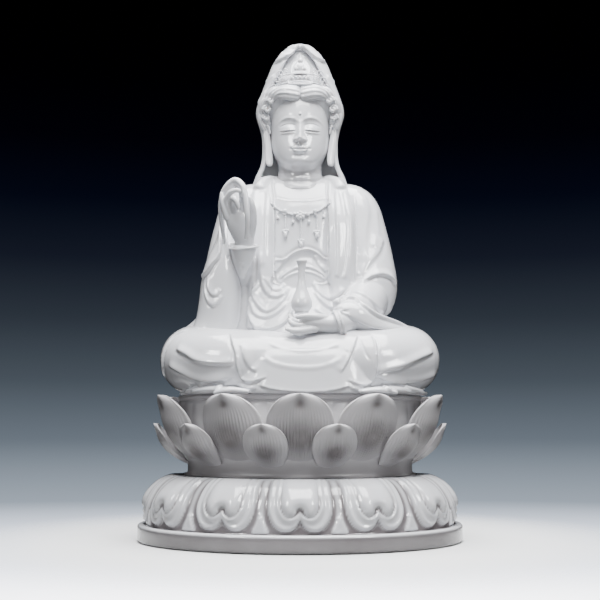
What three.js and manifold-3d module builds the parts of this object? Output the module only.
// A seated Guanyin of glazed white porcelain on a lotus throne, about 396 mm tall, in millimetres.
// +Z is up, the figure faces -Y, and the origin is the middle of the base's underside.
// Four pieces: the turned-lotus base, the lotus throne, the figure and the vase that stands on its palm.
import * as THREE from "three";
import { mergeVertices } from "three/addons/utils/BufferGeometryUtils.js";
import Module from "manifold-3d";

const wasm = await Module();
wasm.setup();

// Driving dimensions
const restGap = 0.3; // left between pieces that rest on each other
const base = {
  halfWidth: 125,
  halfDepth: 101,
  slabHeight: 13,
  slabEdge: 1.6, // bevel of the slab's rims
  ledge: 4, // flat left round the foot of the carved bell
  bellHeight: 37,
  petals: 12,
  petalBunching: 3, // degrees that petal angles shift towards the flat sides of the oval
  leafRelief: 3.2,
  heartRelief: 4.2,
};
const throne = {
  waistHalfWidth: 87,
  waistHalfDepth: 70,
  waistFillet: 3,
  waistHeight: 10,
  topHalfWidth: 97,
  topHalfDepth: 78,
  wallInset: 3.5,
  height: 57.7,
  rimHeight: 5,
  flutes: 22,
  fluteDepth: 0.9,
  petalsPerTier: 10,
  petalBunching: 6, // degrees
  petalThickness: 2.2,
  petalRoot: 2, // how deep the petals are rooted in the waist
};
const bigPetal = { halfWidth: 24.5, rootWidth: 17, reach: 29, foot: 10.5, height: 49.5, cup: 12, curl: 5 };
const smallPetal = { halfWidth: 16.5, rootWidth: 7, reach: 28, foot: 6.7, height: 32, cup: 8, curl: 3.6 };
const figure = { height: 288 };
const vase = {
  height: 40,
  rimRadius: 3.9,
  neckRadius: 2.7,
  bellyRadius: 7.8,
  footRadius: 4.6,
  wall: 1.2,
};

const porcelain = new THREE.MeshStandardMaterial({ color: 0xe9eaee, roughness: 0.16, metalness: 0 });
const shortestEdge = 1.5; // left in the seams of joined masses
const fullTurn = 2 * Math.PI;
const degree = Math.PI / 180;

// Smooth 0 to 1 as x goes from one value to another, up or down.
const ramp = (from, to, x) => THREE.MathUtils.smoothstep((x - from) / (to - from), 0, 1);
const mix = THREE.MathUtils.lerp;

// A closed mesh as a solid that can be joined and cut.
function solid(geometry) {
  const bare = geometry.clone();
  bare.deleteAttribute("normal");
  bare.deleteAttribute("uv");
  const merged = mergeVertices(bare, 1e-4);
  const made = new wasm.Manifold(
    new wasm.Mesh({
      numProp: 3,
      vertProperties: merged.attributes.position.array,
      triVerts: new Uint32Array(merged.index.array),
    }),
  );
  if (made.volume() < 0) throw new Error("a mesh is inside out");
  return made;
}

function geometryOf(body) {
  const mesh = body.getMesh();
  const made = new THREE.BufferGeometry();
  made.setAttribute("position", new THREE.BufferAttribute(mesh.vertProperties, 3));
  made.setIndex(new THREE.BufferAttribute(mesh.triVerts, 1));
  made.computeVertexNormals();
  return made;
}

const fuse = (bodies) => bodies.reduce((sum, body) => sum.add(body));

// Draws together the ends of edges shorter than a length, where the surface stays closed and no face
// turns over. The seams that joining leaves are full of such edges.
function weldShortEdges(body, shortest) {
  const mesh = body.getMesh();
  const threes = (values) =>
    Array.from({ length: values.length / 3 }, (_, i) => [...values.slice(3 * i, 3 * i + 3)]);
  const points = threes(mesh.vertProperties).map(([x, y, z]) => new THREE.Vector3(x, y, z));
  const faces = threes(mesh.triVerts);
  const facesOf = points.map(() => new Set());
  faces.forEach((face, i) => face.forEach((corner) => facesOf[corner].add(i)));
  const neighbours = (a) => new Set([...facesOf[a]].flatMap((i) => faces[i]).filter((b) => b !== a));
  const normal = (corners) => {
    const [a, b, c] = corners.map((corner) => points[corner]);
    return b.clone().sub(a).cross(c.clone().sub(a));
  };
  const canMove = (from, to) => {
    const around = neighbours(to);
    if ([...neighbours(from)].filter((corner) => around.has(corner)).length !== 2) return false;
    return [...facesOf[from]]
      .filter((i) => !faces[i].includes(to))
      .every((i) => {
        const before = normal(faces[i]);
        const after = normal(faces[i].map((corner) => (corner === from ? to : corner)));
        return after.dot(before) > 0.5 * after.length() * before.length() && after.length() > 1e-4;
      });
  };
  const move = (from, to) => {
    for (const i of facesOf[from]) {
      if (faces[i].includes(to)) {
        faces[i].forEach((corner) => corner !== from && facesOf[corner].delete(i));
        faces[i] = null;
      } else {
        faces[i] = faces[i].map((corner) => (corner === from ? to : corner));
        facesOf[to].add(i);
      }
    }
    facesOf[from].clear();
  };
  const lengthOf = ([a, b]) => points[a].distanceTo(points[b]);
  const edges = faces
    .flatMap(([a, b, c]) => [[a, b], [b, c], [c, a]])
    .filter((edge) => edge[0] < edge[1] && lengthOf(edge) < shortest)
    .sort((one, two) => lengthOf(one) - lengthOf(two));
  for (const [a, b] of edges) {
    if (!facesOf[a].size || !facesOf[b].size || !neighbours(a).has(b)) continue;
    if (canMove(a, b)) move(a, b);
    else if (canMove(b, a)) move(b, a);
  }
  const welded = new THREE.BufferGeometry().setFromPoints(points);
  welded.setIndex(faces.filter(Boolean).flat());
  return solid(welded);
}

// A closed skin over rings of equal length, listed from the start cap to the end cap.
// Seen from the end cap, each ring runs counter-clockwise.
function skin(rings) {
  const sides = rings[0].length;
  const middle = (ring) =>
    ring.reduce((sum, point) => sum.add(point), new THREE.Vector3()).divideScalar(sides);
  const points = [middle(rings[0]), ...rings.flat(), middle(rings.at(-1))];
  const at = (ring, side) => 1 + ring * sides + (side % sides);
  const faces = [];
  for (let side = 0; side < sides; side++) {
    faces.push(0, at(0, side + 1), at(0, side));
    faces.push(points.length - 1, at(rings.length - 1, side), at(rings.length - 1, side + 1));
    for (let ring = 0; ring + 1 < rings.length; ring++) {
      faces.push(at(ring, side), at(ring, side + 1), at(ring + 1, side + 1));
      faces.push(at(ring, side), at(ring + 1, side + 1), at(ring + 1, side));
    }
  }
  const made = new THREE.BufferGeometry().setFromPoints(points);
  made.setIndex(faces);
  return made;
}

// A row of numbers read at share t along a list of rows, on a smooth curve through them.
function alongRows(rows, t) {
  const place = Math.min(t, 1) * (rows.length - 1);
  const i = Math.min(Math.floor(place), rows.length - 2);
  const f = place - i;
  const row = (k) => rows[Math.min(Math.max(k, 0), rows.length - 1)];
  return rows[0].map((_, c) => {
    const [p0, p1, p2, p3] = [row(i - 1)[c], row(i)[c], row(i + 1)[c], row(i + 2)[c]];
    const bend = 2 * p0 - 5 * p1 + 4 * p2 - p3;
    const swing = 3 * p1 - p0 - 3 * p2 + p3;
    return p1 + 0.5 * f * (p2 - p0 + f * (bend + f * swing));
  });
}

// Everything on the figure is laid out at a design height and scaled to the figure's height.
const designHeight = 288;
const size = figure.height / designHeight;
const figureFoot = base.slabHeight + base.bellHeight + restGap + throne.height + restGap;
const place = (x, y, z) => new THREE.Vector3(x * size, y * size, figureFoot + z * size);

// A mass of level slices, rows of [height, middle x, middle y, half width, depth in front, depth behind].
function levels(rows, { sides = 16, steps = 8, squareness = 2 } = {}) {
  const rings = [];
  for (let step = 0; step <= steps; step++) {
    const [z, x, y, halfWidth, front, behind] = alongRows(rows, step / steps);
    rings.push(
      Array.from({ length: sides }, (_, side) => {
        const angle = (side / sides) * fullTurn;
        const across = Math.sign(Math.cos(angle)) * Math.abs(Math.cos(angle)) ** (2 / squareness);
        const deep = Math.sign(Math.sin(angle)) * Math.abs(Math.sin(angle)) ** (2 / squareness);
        return place(x + halfWidth * across, y + (deep < 0 ? front : behind) * deep, z);
      }),
    );
  }
  return skin(rings);
}

const towardsFront = new THREE.Vector3(0, -1, 0);
const upwards = new THREE.Vector3(0, 0, 1);

// A rounded limb or roll of cloth along rows of [x, y, z, radius, flatness].
// Flatness is the share of the radius that stays in the direction that the flat side faces.
function roll(rows, { sides = 10, steps = 8, blunt = 0.5, facing = towardsFront } = {}) {
  const samples = Array.from({ length: steps + 1 }, (_, step) => alongRows(rows, step / steps));
  const curve = new THREE.CatmullRomCurve3(samples.map(([x, y, z]) => place(x, y, z)));
  const rings = [];
  const ring = (centre, along, radius, flatness) => {
    const wide = new THREE.Vector3().crossVectors(facing, along).normalize();
    const flat = new THREE.Vector3().crossVectors(along, wide);
    return Array.from({ length: sides }, (_, side) => {
      const angle = (side / sides + 0.25) * fullTurn;
      return centre
        .clone()
        .addScaledVector(wide, Math.cos(angle) * radius * size)
        .addScaledVector(flat, Math.sin(angle) * radius * flatness * size);
    });
  };
  const roundedEnd = (centre, along, radius, flatness, way) =>
    ring(centre.clone().addScaledVector(along, way * radius * blunt * size), along, radius * 0.6, flatness);
  samples.forEach(([, , , radius, flatness = 1], step) => {
    const centre = curve.getPoint(step / steps);
    const along = curve.getTangent(step / steps);
    if (blunt && step === 0) rings.push(roundedEnd(centre, along, radius, flatness, -1));
    rings.push(ring(centre, along, radius, flatness));
    if (blunt && step === steps) rings.push(roundedEnd(centre, along, radius, flatness, 1));
  });
  return skin(rings);
}

const ball = (x, y, z, wide, deep, tall, sides = 10) => {
  const made = new THREE.SphereGeometry(size, sides, Math.max(4, Math.round(sides * 0.7)));
  made.rotateX(Math.PI / 2).scale(wide, deep, tall);
  const centre = place(x, y, z);
  return made.translate(centre.x, centre.y, centre.z);
};

// Base and throne

// Petals stand an even step apart round an oval, so their angles bunch towards its flat sides.
const ovalAngle = (turn, bunching) => turn - bunching * degree * Math.sin(2 * turn);
const onOval = (angle, halfWidth, halfDepth, z) =>
  new THREE.Vector3(halfWidth * Math.sin(angle), -halfDepth * Math.cos(angle), z);
const ovalNormal = (angle, halfWidth, halfDepth) =>
  new THREE.Vector3(Math.sin(angle) / halfWidth, -Math.cos(angle) / halfDepth, 0).normalize();

// A pair of round lobes side by side, hanging down with a cusp between: 0 on the outline, 1 well inside.
// Here s runs across a petal from -1 to 1 and w up the bell from 0 to 1.
function lobes(s, w, { apart, round, top, drop }) {
  const across = (Math.abs(s) - apart) / round;
  return 1 - (w < top ? Math.hypot(across, (w - top) / drop) : Math.max(0, across));
}
const leafLobes = { apart: 0.29, round: 0.52, top: 0.35, drop: 0.31 };
const heartLobes = { apart: 0.26, round: 0.3, top: 0.4, drop: 0.23 };

// How far the turned lotus stands out of the bell: a broad leaf, a heart on it, a leaf tip between petals.
function lotusRelief(s, w) {
  const leaf = ramp(-0.12, 0.3, lobes(s, w, leafLobes));
  const heart = ramp(-0.1, 0.5, lobes(s, w, heartLobes));
  const between = 0.5 * ramp(0.84, 1, Math.abs(s)) * ramp(0, 0.1, w);
  return ramp(1, 0.75, w) * (base.leafRelief * Math.max(leaf, between) + base.heartRelief * heart);
}

function makeBase() {
  const acrossPetal = [-0.8, -0.4, 0, 0.4, 0.8, 1];
  const upBell = [0.08, 0.2, 0.3, 0.45, 0.72, 1];
  const petalStep = fullTurn / base.petals;
  const columns = Array.from({ length: base.petals }, (_, petal) =>
    acrossPetal.map((s) => ({ s, angle: ovalAngle((petal + s / 2) * petalStep, base.petalBunching) })),
  ).flat();
  const bellFoot = base.ledge + base.leafRelief;
  const foot = [base.halfWidth - bellFoot, base.halfDepth - bellFoot];
  const top = [throne.waistHalfWidth, throne.waistHalfDepth].map((half) => half + throne.waistFillet + 1);
  const oval = (shrink, z) =>
    columns.map(({ angle }) => onOval(angle, base.halfWidth - shrink, base.halfDepth - shrink, z));
  const bellRing = (w) => {
    const rise = (w * Math.PI) / 2;
    const [halfWidth, halfDepth] = top.map((half, i) => mix(half, foot[i], Math.cos(rise)));
    return columns.map(({ s, angle }) => {
      const out = lotusRelief(s, w);
      return onOval(angle, halfWidth, halfDepth, base.slabHeight + base.bellHeight * Math.sin(rise))
        .addScaledVector(ovalNormal(angle, halfWidth, halfDepth), out * Math.cos(rise));
    });
  };
  return skin([
    oval(base.slabEdge, 0),
    oval(0, base.slabEdge),
    oval(0, base.slabHeight - base.slabEdge),
    oval(base.slabEdge, base.slabHeight),
    oval(bellFoot, base.slabHeight),
    ...upBell.map(bellRing),
  ]);
}

// One petal of the throne: a thin curved shell, rounded above, with its tip curling outwards.
function petalShell(petal, turn, { across, up }) {
  const angle = ovalAngle(turn, throne.petalBunching);
  const foot = base.slabHeight + base.bellHeight + restGap + petal.foot;
  const waist = throne.waistHalfWidth - throne.petalRoot;
  const waistDeep = throne.waistHalfDepth - throne.petalRoot;
  const normal = ovalNormal(angle, waist, waistDeep);
  const tangent = new THREE.Vector3(-normal.y, normal.x, 0);
  const outline = (v) =>
    v < 0.5
      ? mix(petal.halfWidth, petal.rootWidth, (1 - 2 * v) ** 2)
      : petal.halfWidth * Math.sqrt(Math.max(0.004, 1 - (2 * v - 1) ** 2.3));
  const belly = (v) => petal.reach * (1 - (1 - v) ** 3.2) - 0.12 * petal.reach * ramp(0.4, 0.85, v);
  const cup = (u, v) => petal.cup * u * u * (0.35 + 0.65 * Math.sin(Math.PI * v));
  const point = (u, v, inset) => {
    const out = belly(v) + petal.curl * ramp(0.8, 1, v) - cup(u, v) - inset;
    return onOval(angle, waist, waistDeep, foot + petal.height * v)
      .addScaledVector(normal, out)
      .addScaledVector(tangent, u * outline(v));
  };
  // Each ring goes round the shell, over its outer face and back along the inner one.
  const rings = Array.from({ length: up + 1 }, (_, row) => {
    const v = 1 - (1 - row / up) ** 1.5;
    const outer = Array.from({ length: across + 1 }, (_, i) => point((i / across) * 2 - 1, v, 0));
    const inner = Array.from({ length: across + 1 }, (_, i) =>
      point(1 - (i / across) * 2, v, throne.petalThickness * mix(1, 0.6, v)));
    return [...outer, ...inner];
  });
  return skin(rings);
}

function makeThrone() {
  const columns = 2 * throne.flutes;
  const foot = base.slabHeight + base.bellHeight + restGap;
  const top = foot + throne.height;
  const ring = (halfWidth, halfDepth, z, groove) =>
    Array.from({ length: columns }, (_, column) => {
      const angle = ovalAngle((column / columns) * fullTurn, throne.petalBunching);
      const cut = column % 2 ? groove : 0;
      return onOval(angle, halfWidth - cut, halfDepth - cut, z);
    });
  const { waistHalfWidth, waistHalfDepth, waistFillet, waistHeight } = throne;
  const { topHalfWidth, topHalfDepth, wallInset } = throne;
  const grooved = throne.fluteDepth;
  const core = skin([
    ring(waistHalfWidth + waistFillet, waistHalfDepth + waistFillet, foot, 0),
    ring(waistHalfWidth, waistHalfDepth, foot + waistFillet, 0),
    ring(waistHalfWidth, waistHalfDepth, foot + waistHeight, 0),
    ring(topHalfWidth - 2 * wallInset, topHalfDepth - 2 * wallInset, foot + waistHeight * 2, grooved),
    ring(topHalfWidth - wallInset, topHalfDepth - wallInset, top - throne.rimHeight, grooved),
    ring(topHalfWidth, topHalfDepth, top - throne.rimHeight * 0.8, 0),
    ring(topHalfWidth, topHalfDepth, top - throne.rimHeight * 0.3, 0),
    ring(topHalfWidth - 1.5, topHalfDepth - 1.5, top, 0),
  ]);
  const step = fullTurn / throne.petalsPerTier;
  const petals = [];
  for (let i = 0; i < throne.petalsPerTier; i++) {
    petals.push(solid(petalShell(bigPetal, i * step, { across: 4, up: 4 })));
    petals.push(solid(petalShell(smallPetal, (i + 0.5) * step, { across: 4, up: 3 })));
  }
  return geometryOf(weldShortEdges(fuse([solid(core), ...petals]), shortestEdge));
}

// The figure. Its right is at -X. Rows are at the design height, measured up from the throne's top.

const across = (side, rows) => rows.map(([x, ...rest]) => [side * x, ...rest]);
const mirrored = (rows) => across(-1, rows);

function makeBody() {
  const hips = levels([
    [0, 0, 16, 84, 60, 48],
    [14, 0, 16, 82, 58, 50],
    [30, 0, 15, 70, 50, 46],
    [44, 0, 14, 58, 42, 44],
    [58, 0, 13, 50, 38, 42],
  ], { sides: 14, steps: 3 });
  const trunk = levels([
    [40, 0, 12, 54, 42, 43],
    [62, 0, 12, 50, 43, 42],
    [88, 0, 12, 45, 40, 40],
    [118, 0, 12, 44, 34, 38],
    [145, 0, 12, 47, 31, 36],
    [158, 0, 12, 45, 25, 33],
    [168, 0, 12, 37, 16, 29],
    [176, 0, 12, 26, 8, 24],
  ], { sides: 14, steps: 6 });
  const upperArm = [
    [36, 13, 150, 20],
    [43, 11, 140, 23.5],
    [47, 8, 122, 25],
    [50, 4, 102, 26],
    [51, 0, 86, 26],
    [50, -4, 76, 24],
  ];
  const leg = [
    [34, 26, 31, 28],
    [58, 9, 31, 28.5],
    [76, -9, 30, 27.5],
    [79, -29, 28, 26],
    [60, -43, 26, 25.4],
    [32, -49, 25, 24.6],
    [4, -50, 24, 24],
  ];
  const arm = { sides: 10, steps: 4, blunt: 0.62 };
  const crossed = { sides: 10, steps: 7, blunt: 0.62, facing: upwards };
  const pair = (rows, detail) => [roll(rows, detail), roll(mirrored(rows), detail)];
  return [hips, trunk, ...pair(upperArm, arm), ...pair(leg, crossed)];
}

// The cloth over the lap, which hangs in front of the crossed shins and spreads on the throne.
function makeApron() {
  return levels([
    [2, 3, -46, 50, 33, 10],
    [6, 3, -46, 51, 33, 10],
    [22, 3, -46, 49, 31, 12],
    [36, 3, -46, 50, 29, 14],
    [44, 3, -44, 50, 26, 18],
    [48, 2, -38, 46, 20, 22],
  ], { sides: 14, steps: 4, squareness: 3.4 });
}

function makeHeadAndNeck() {
  const head = levels([
    [181, 0, 2, 6, 12, 10],
    [185, 0, 3, 12, 17, 15],
    [192, 0, 4, 17, 20, 20],
    [202, 0, 5, 21, 21.5, 24],
    [214, 0, 5, 22.6, 21, 26],
    [226, 0, 6, 22.4, 21, 26],
    [238, 0, 7, 20.5, 18.5, 24],
    [250, 0, 8, 15, 14, 18],
    [258, 0, 8, 6, 6, 8],
  ], { sides: 10, steps: 7 });
  const neck = levels([
    [160, 0, 9, 20.5, 22, 16],
    [168, 0, 9, 19.6, 19.5, 15],
    [172, 0, 9, 18.6, 17.6, 14],
    [180, 0, 9, 18.2, 16, 14],
    [192, 0, 9, 16, 14, 14],
  ], { sides: 8, steps: 2 });
  const brow = { sides: 3, steps: 2, blunt: 0 };
  const ear = { sides: 5, steps: 2 };
  const nose = { sides: 5, steps: 2, blunt: 0.3 };
  const lip = { sides: 4, steps: 2, blunt: 0 };
  const side = (sign) => [
    ball(sign * 9.2, -14.2, 212.5, 6.2, 3.4, 3.6, 6), // closed upper lid
    roll(across(sign, [[2.6, -15.2, 214.4, 1], [8.6, -15, 219.4, 1.8], [15.4, -10.6, 217, 1]]), brow),
    roll(across(sign, [[24, 2, 221, 2.6], [25.4, 1, 206, 3.6], [23.8, -2, 188, 3.2]]), ear),
  ];
  const middle = [
    roll([[0, -14.6, 218, 1.6], [0, -16.2, 209, 2.2], [0, -17.6, 202.6, 3.2]], nose),
    roll([[-7, -13.6, 195.4, 0.8], [0, -17.2, 195.4, 2], [7, -13.6, 195.4, 0.8]], lip),
    roll([[-5.6, -13.8, 192.6, 0.8], [0, -16.8, 192, 2.1], [5.6, -13.8, 192.6, 0.8]], lip),
    ball(0, -13.6, 186, 5.4, 4, 4, 6), // chin
    ball(0, -15.4, 223.4, 1.4, 1.6, 1.4, 4), // urna
  ];
  return [head, neck, ...side(1), ...side(-1), ...middle];
}

// Hair swept from the middle parting to above the ears, in three rolls a side, and a small crown above it.
function makeHairAndCrown() {
  const sweep = [
    [[1, -15, 240, 3], [8, -15.6, 239, 5.4], [15, -12, 237, 4.4], [19, -8, 234, 2.5]],
    [[13, -11.5, 236, 3], [19.5, -7.5, 233.6, 4.6], [24, -2, 229, 3]],
    [[20, -6, 232.6, 2.4], [25.4, -1.5, 227.6, 4.2], [27.5, 3, 220, 2.4]],
  ];
  const rolls = sweep.flatMap((rows) => [rows, mirrored(rows)]).map((rows) =>
    roll(rows, { sides: 5, steps: 2 }));
  const cap = levels([
    [226, 0, 8, 25, 16, 20],
    [236, 0, 8, 23.5, 19.5, 20],
    [244, 0, 8, 20, 18.5, 18],
    [250, 0, 8, 15, 14, 14],
  ], { sides: 10, steps: 2 });
  const band = levels([
    [242, 0, 6, 17.5, 19, 10],
    [246, 0, 6, 19.4, 20.5, 10],
    [250, 0, 6, 19.6, 20, 10],
    [253, 0, 6, 17, 18, 9],
  ], { sides: 10, steps: 1 });
  const flame = levels([
    [249, 0.3, 0, 13, 12.5, 6],
    [256, 0.3, 0, 13.6, 12, 6],
    [264, 0.3, 1, 10.6, 10.6, 6],
    [270, 0.3, 2, 6.6, 9, 5],
    [276, 0.3, 3, 1.6, 6, 4],
  ], { sides: 10, steps: 4 });
  const seated = [
    ball(0.3, -12.6, 254.6, 6.2, 3.4, 3.4, 6),
    ball(0.3, -12, 260, 4.4, 3, 4.6, 6),
    ball(0.3, -11.2, 267.2, 2.9, 2.6, 3.2, 6),
  ];
  return [...rolls, cap, band, flame, ...seated];
}

// The veil over the head: a hollowed cone that pinches at the neck and flares on the shoulders.
function makeVeil() {
  const shell = solid(levels([
    [160, 0, 12, 44, 18, 32],
    [170, 0, 11, 40, 15, 32],
    [180, 0, 9, 36.6, 11.5, 31],
    [190, 0, 9, 31.6, 8.5, 29],
    [200, 0, 8, 29.8, 9, 28],
    [212, 0, 8, 30.6, 12, 29],
    [230, 0, 8, 35.3, 18, 30],
    [245, 0, 8, 31.6, 20, 29],
    [259, 0, 8, 27, 19, 26],
    [272, 0, 8, 22.2, 16, 21],
    [281, 0, 7, 16, 13, 15],
    [286.5, 0, 6, 8.5, 8, 8],
    [288, 0, 6, 2, 2, 2],
  ], { sides: 14, steps: 11 }));
  const opening = solid(levels([
    [172, 0, -12, 25, 22, 20],
    [180, 0, -12, 30, 22, 20],
    [190, 0, -12, 28.4, 22, 16],
    [205, 0, -12, 27, 22, 14],
    [228, 0, -12, 32.4, 22, 14],
    [240, 0, -12, 28.4, 22, 14],
    [252, 0, -12, 20.4, 22, 14],
    [262, 0, -12, 16.4, 22, 12],
    [272, 0, -12, 11.5, 22, 9],
    [282, 0, -12, 2, 22, 4],
  ], { sides: 8, steps: 7, squareness: 2.6 }));
  return shell.subtract(opening);
}

// The right arm: a tight inner sleeve up to the raised wrist, and the wide outer sleeve that hangs from it.
function makeRightSleeve() {
  const forearm = roll(
    [[-47, -6, 86, 13], [-46, -24, 100, 11.5], [-44.5, -40, 114, 9.8]],
    { sides: 8, steps: 2, blunt: 0.15 },
  );
  const hanging = solid(levels([
    [30, -70, -24, 22, 20, 22],
    [46, -67, -24, 18, 20, 24],
    [56, -63, -23, 14, 20, 24],
    [72, -61.6, -22, 15, 22, 24],
    [90, -61.6, -22, 15, 22, 24],
    [106, -61.6, -22, 11.6, 19, 22],
    [120, -59, -22, 7, 16, 20],
    [136, -57, -14, 4, 10, 16],
    [146, -55, -6, 2, 6, 10],
  ], { sides: 10, steps: 6 }));
  const mouth = roll(
    [[-63.5, -46, 108, 4], [-63, -46, 92, 10], [-62.5, -47, 74, 11], [-62, -47, 58, 7]],
    { sides: 6, steps: 3 },
  );
  return [solid(forearm), hanging.subtract(solid(mouth))];
}

// The left arm: the forearm lies across the lap, under a sleeve whose tail rests on the knee.
function makeLeftSleeve() {
  const forearm = [[51, -4, 80, 20], [48, -22, 72, 18], [42, -38, 65, 14.5], [34, -50, 61, 11]];
  const wrist = [[35, -50, 57, 8], [27, -57, 53.6, 8.6]];
  const tail = [
    [28, -54, 65, 6],
    [42, -51, 59, 9.6],
    [57, -43, 51.6, 9.4],
    [74, -30, 48, 8],
    [91, -18, 45, 5],
  ];
  return [
    roll(forearm, { sides: 8, steps: 3, blunt: 0.4 }),
    roll(wrist, { sides: 8, steps: 1, blunt: 0.2 }),
    roll(tail, { sides: 6, steps: 5 }),
  ];
}

// A finger or other tapered roll from its root to its tip.
function finger(points, root, tip) {
  const rows = points.map((point, i) => [...point, mix(root, tip, i / (points.length - 1))]);
  return roll(rows, { sides: 5, steps: 2, blunt: 0.5 });
}

// The raised right hand: palm forward, little finger up, the middle fingers curled round a willow sprig.
function makeRightHand() {
  const palmRows = [
    [-44.3, -40, 112, 8.2, 0.85],
    [-46, -45, 122, 8.4, 0.72],
    [-49, -49, 132, 9.8, 0.62],
    [-50, -50, 141, 9, 0.6],
  ];
  return [
    roll(palmRows, { sides: 8, steps: 3, blunt: 0.3 }),
    finger([[-55, -50, 137], [-57, -51, 145], [-58, -51.5, 152]], 2.7, 1.2),
    finger([[-51.5, -50, 142], [-51, -53, 150], [-48.5, -57, 152], [-47, -58, 147]], 2.6, 1.7),
    finger([[-47, -50, 142], [-45.6, -54, 150.5], [-43.6, -58, 152], [-43, -58.5, 146.5]], 2.6, 1.7),
    finger([[-42.6, -48, 140], [-41, -52, 148], [-41.4, -56, 153.5], [-42, -58, 157]], 2.5, 1.5),
    finger([[-38.6, -46, 124], [-37, -50, 134], [-38, -54, 143], [-40.6, -57, 149]], 3.3, 1.8),
    // the sprig's stem rises in the palm, arches over the fingers and droops behind the hand
    roll([
      [-41, -54, 122, 1.6],
      [-40.6, -58, 140, 1.8],
      [-41, -58, 155, 1.8],
      [-46, -55, 165, 1.9],
      [-54, -51, 162.6, 2.2],
      [-59, -46.6, 151, 2.4],
      [-59, -42, 138, 2.2],
      [-56, -36, 119, 1.5],
    ], { sides: 4, steps: 8 }),
  ];
}

// The left hand lies palm up over the lap, fingers to the figure's right, with a bangle at the wrist.
function makeLeftHand() {
  return [
    roll([
      [29, -57, 54, 8.2, 0.95],
      [20, -58, 54, 9.4, 0.8],
      [10, -58, 54.4, 10.4, 0.68],
      [2, -58, 54, 9.6, 0.68],
    ], { sides: 8, steps: 3, blunt: 0.3, facing: upwards }),
    finger([[8, -62, 48.6], [-2, -64, 47.6], [-8, -64, 49], [-13, -63, 51.6]], 3.2, 1.7),
    finger([[6, -57, 52], [-3, -57, 52], [-9, -57, 55.6], [-11, -57, 60]], 2.9, 1.6),
    finger([[5, -52, 54], [-3, -51, 54.6], [-8, -51, 58.4], [-8.6, -51, 61.6]], 2.8, 1.6),
    finger([[14, -60, 58.4], [6, -62, 60.6], [-1, -62, 61], [-7.4, -61, 60.4]], 3.2, 1.7),
    roll([[29.6, -57.4, 54, 9.6, 1], [31, -56.8, 54.2, 9.6, 1]], { sides: 10, steps: 1, blunt: 0.02 }),
  ];
}

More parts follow.
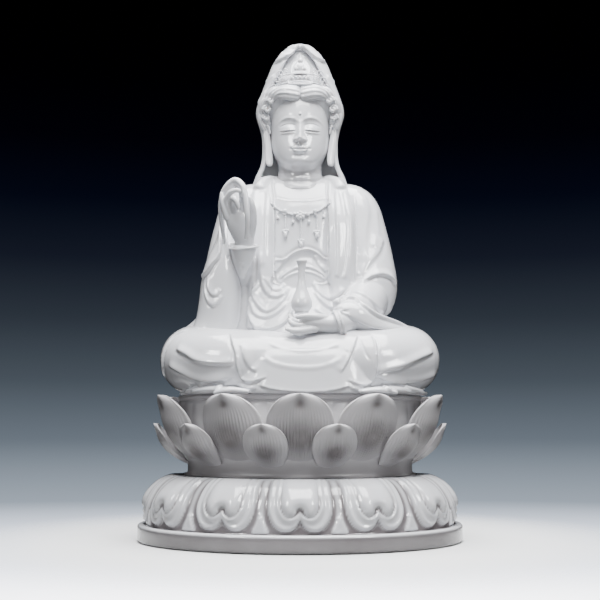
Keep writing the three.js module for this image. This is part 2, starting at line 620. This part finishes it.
// Cloth folds and borders, as [x, z, thickness] in front view, laid on the masses that lie behind them.
const folds = {
  rightBorder: [
    [-25, 160, 2.6], [-22.6, 150, 2.4], [-22.4, 120, 2.4], [-22.3, 96, 2.4],
    [-20, 89, 2.3], [-15.6, 87.4, 2], [-12, 91, 1.2],
  ],
  leftBorder: [
    [25, 160, 2.6], [22.8, 150, 2.4], [23, 120, 2.4], [23, 100, 2.3],
    [20, 91, 2.2], [14, 87.6, 1.6], [9.6, 89, 1],
  ],
  rightPanel: [
    [-33, 160, 5], [-33, 135, 6.6], [-33.6, 108, 6.6], [-31, 92, 5],
    [-24, 84, 3.4], [-16, 82.4, 2.4], [-10, 87, 1.2],
  ],
  leftPanel: [
    [33, 160, 5], [33, 135, 6.4], [33, 108, 6.4], [30, 92, 5],
    [24, 84, 3.4], [16, 80, 2.4], [9, 84, 1.2],
  ],
  rightSwagUpper: [
    [-38, 112, 3], [-37.4, 84, 3], [-32, 73, 2.8],
    [-24, 70.6, 2.6], [-15, 74, 2.2], [-9.6, 81, 1.2],
  ],
  rightSwagLower: [[-40, 84, 3.2], [-38.6, 62, 3.4], [-31, 50.6, 3.2], [-20, 48.4, 2.8], [-10, 50, 2]],
  rightCloth: [[-33, 58, 1.2], [-23, 56, 2], [-14, 59, 2], [-8.6, 69, 1.8], [-5.4, 83, 1.2]],
  leftSwagUpper: [[38, 96, 2.4], [35, 85, 2.6], [27, 78.4, 2.4], [16, 77, 2], [9, 83, 1.2]],
  leftSwagLower: [[30, 72, 1.6], [24, 66, 2], [16, 66.6, 1.8], [10.6, 73, 1.2]],
  leftEdge: [[43.6, 158, 1.8], [44, 146, 2.6], [43.8, 116, 2.8], [43.6, 86, 2.4], [36, 74, 1.6]],
  wrapTop: [
    [-22, 110.6, 1.4], [-16, 109.6, 1.5], [-11, 111.6, 1.6], [-6, 116, 1.7], [1, 118, 1.8],
    [8, 116.6, 1.7], [13.6, 112, 1.6], [18, 110, 1.5], [22.6, 110.6, 1.4],
  ],
  sash: [[-17, 96, 1.6], [-7, 101, 2], [3, 103.6, 2.2], [13, 100.6, 2], [19, 95.6, 1.6]],
  collar: [[-20.4, 157, 0.8], [-11, 154.6, 1], [0, 154, 1.1], [11, 154.6, 1], [20, 157, 0.8]],
  elbowCrescent: [[45, 88, 1.4], [52, 93.4, 2.2], [61, 95, 2.4], [68, 91, 2.2], [71, 86, 1.2]],
  elbowFold: [[46, 93, 1.4], [53, 106, 2], [62, 116, 1.4]],
  shoulderFold: [[56, 150, 1], [59, 132, 1.8], [58, 114, 1]],
  sleeveRoll: [
    [-56, 120, 1.6], [-53.6, 106, 2.4], [-48.4, 92, 2.8],
    [-47, 76, 3], [-48.6, 60, 2.8], [-54, 48, 2],
  ],
  sleeveFlap: [[-61, 146, 1.2], [-60, 130, 1.8], [-60.4, 119, 2], [-65, 106, 2], [-72, 96, 1.4]],
  sleeveCurveUpper: [[-71, 96, 1.4], [-69, 84, 2], [-63.6, 79, 2.2], [-58.6, 83, 1.4]],
  sleeveCurveLower: [[-73, 88, 1.4], [-70.6, 76.6, 2], [-64, 71.4, 2.2], [-57.4, 77, 1.4]],
  rightKneeUpper: [[-86, 33, 1.2], [-74, 26.6, 1.8], [-60, 24, 2], [-49, 24, 2]],
  rightKneeLower: [[-89, 19.6, 1.2], [-80, 14.6, 1.8], [-66, 12.6, 1.8], [-53, 14.6, 1.4]],
  rightHem: [[-88, 3.4, 1.6], [-76, 6, 3.4], [-62, 11.4, 2.6]],
  rightHemFront: [[-62, 4, 4], [-52, 8, 4.4], [-40, 5, 3.4]],
  leftKneeUpper: [[57, 19, 1.6], [71, 22, 2], [85, 27, 1.8], [96, 31.6, 1.2]],
  leftKneeLower: [[57, 13.6, 1.4], [71, 11, 1.8], [87, 12, 1.8], [99, 16.4, 1.2]],
  leftHem: [[92, 3.4, 2.4], [77, 5.6, 3.6], [64, 10, 2.6]],
  leftHemFront: [[66, 3.6, 4], [56, 7.6, 4.4], [44, 4.6, 3.4]],
  apronLeft: [
    [-50.4, 43, 2], [-47, 31, 2.4], [-45.4, 20, 2.4],
    [-41, 11.4, 2.4], [-33.6, 9.8, 2], [-25.6, 13, 1.2],
  ],
  apronRight: [[55, 43, 2], [55.4, 27, 2.4], [53.6, 14, 2.4], [45, 7.4, 2.2], [36, 10.8, 1.2]],
  apronHem: [[-29, 8.4, 1.6], [-18, 4.4, 2.2], [2, 3, 2.4], [22, 3.8, 2.2], [37, 7.4, 1.6]],
  apronSwagUpper: [[-20, 40, 1], [-6.6, 33.6, 1.6], [11, 33.4, 1.6], [32, 39.6, 1]],
  apronSwagLower: [[-29, 35, 1], [-18, 24, 1.8], [2, 19.4, 2], [25, 21.4, 1.8], [37, 33.6, 1]],
};

// The depth at which a line from the front first meets the masses.
function frontDepth(masses, x, z) {
  const probe = place(x, -200, z);
  const hits = new THREE.Raycaster(probe, new THREE.Vector3(0, 1, 0)).intersectObjects(masses);
  return hits.length ? hits[0].point.y / size : null;
}

function layFold(masses, rows) {
  const steps = Math.max(3, rows.length - 1);
  const laid = [];
  for (let step = 0; step <= steps; step++) {
    const [x, z, thickness] = alongRows(rows, step / steps);
    const depth = frontDepth(masses, x, z);
    if (depth !== null) laid.push([x, depth + 0.35 * thickness, z, thickness]);
  }
  return roll(laid, { sides: 3, steps: laid.length - 1, blunt: 0 });
}

// A necklace of beads with three drops, on the chest.
function makeNecklace(masses) {
  const onChest = (x, z, radius, sides) =>
    ball(x, frontDepth(masses, x, z) - radius * 0.1, z, radius, radius, radius, sides);
  const chain = [[-22, 150, 0.8], [-12, 144.6, 1], [0, 143, 1.1], [12, 144.6, 1], [22, 150, 0.8]];
  const drops = [[-11.4, 141, 126], [0.4, 139, 118], [12.8, 141, 125.4]];
  return [
    layFold(masses, chain),
    onChest(0.2, 141.6, 2.6, 6),
    ...drops.flatMap(([x, high, low]) => [
      layFold(masses, [[x, high, 0.7], [x, low + 4, 0.7]]),
      onChest(x, low + 1.5, 2, 5),
    ]),
  ];
}

function makeFigure() {
  const body = makeBody();
  const apron = makeApron();
  const leftSleeve = makeLeftSleeve();
  const rightSleeve = makeRightSleeve();
  const head = makeHeadAndNeck();
  const veil = makeVeil();
  const masses = [...body, apron, ...leftSleeve, ...rightSleeve.map(geometryOf), geometryOf(veil)].map(
    (geometry) => new THREE.Mesh(geometry, new THREE.MeshBasicMaterial({ side: THREE.DoubleSide })),
  );
  masses.forEach((mass) => mass.updateMatrixWorld());
  const laid = Object.values(folds).map((rows) => layFold(masses, rows));
  const all = fuse([
    ...[...body, apron, ...leftSleeve].map(solid),
    ...rightSleeve,
    veil,
    ...[...head, ...makeHairAndCrown(), ...makeLeftHand(), ...makeRightHand()].map(solid),
    ...laid.map(solid),
    ...makeNecklace(masses).map(solid),
  ]);
  // The underside is cut flat, so that the figure stands on the throne.
  const wide = 4 * base.halfWidth;
  const below = new THREE.BoxGeometry(wide, wide, wide).translate(0, 0, figureFoot - wide / 2);
  return all.subtract(solid(below));
}

// The vase for pure water, hollow, on the palm of the left hand.
const palm = { x: 1.2, y: -56, z: 61.2 };

function makeVase() {
  const { height, rimRadius, neckRadius, bellyRadius, footRadius, wall } = vase;
  const outer = [
    [0, 0],
    [footRadius, 0],
    [footRadius * 1.15, height * 0.03],
    [bellyRadius * 0.92, height * 0.1],
    [bellyRadius, height * 0.19],
    [bellyRadius * 0.86, height * 0.31],
    [mix(neckRadius, bellyRadius, 0.32), height * 0.46],
    [neckRadius, height * 0.66],
    [neckRadius, height * 0.84],
    [rimRadius, height * 0.97],
    [rimRadius, height],
  ];
  const inner = outer
    .slice(3)
    .filter((_, i) => i % 2 === 1)
    .reverse()
    .map(([radius, z]) => [Math.max(radius - wall, 0.9), z]);
  const profile = [...outer, ...inner, [0, wall * 2]];
  const lathe = new THREE.LatheGeometry(profile.map(([radius, z]) => new THREE.Vector2(radius, z)), 12);
  lathe.rotateX(Math.PI / 2);
  const foot = place(palm.x, palm.y, palm.z);
  return solid(lathe.translate(foot.x, foot.y, foot.z));
}

const vaseBody = makeVase();
// The hand and robe are hollowed round the vase by the resting gap, so that it stands free on the palm.
const clearance = (() => {
  const roomRadius = vase.bellyRadius + restGap;
  const room = new THREE.CylinderGeometry(roomRadius, roomRadius, vase.height + restGap, 20);
  room.rotateX(Math.PI / 2);
  const foot = place(palm.x, palm.y, palm.z);
  return solid(room.translate(foot.x, foot.y, foot.z + (vase.height - restGap) / 2));
})();
const figureBody = weldShortEdges(makeFigure().subtract(clearance), shortestEdge);

const group = new THREE.Group();
const pieces = {
  turned_lotus_base: makeBase(),
  lotus_throne: makeThrone(),
  guanyin_figure: geometryOf(figureBody),
  water_vase: geometryOf(vaseBody),
};
for (const [name, geometry] of Object.entries(pieces)) {
  const mesh = new THREE.Mesh(geometry, porcelain);
  mesh.name = name;
  group.add(mesh);
}

export default group;
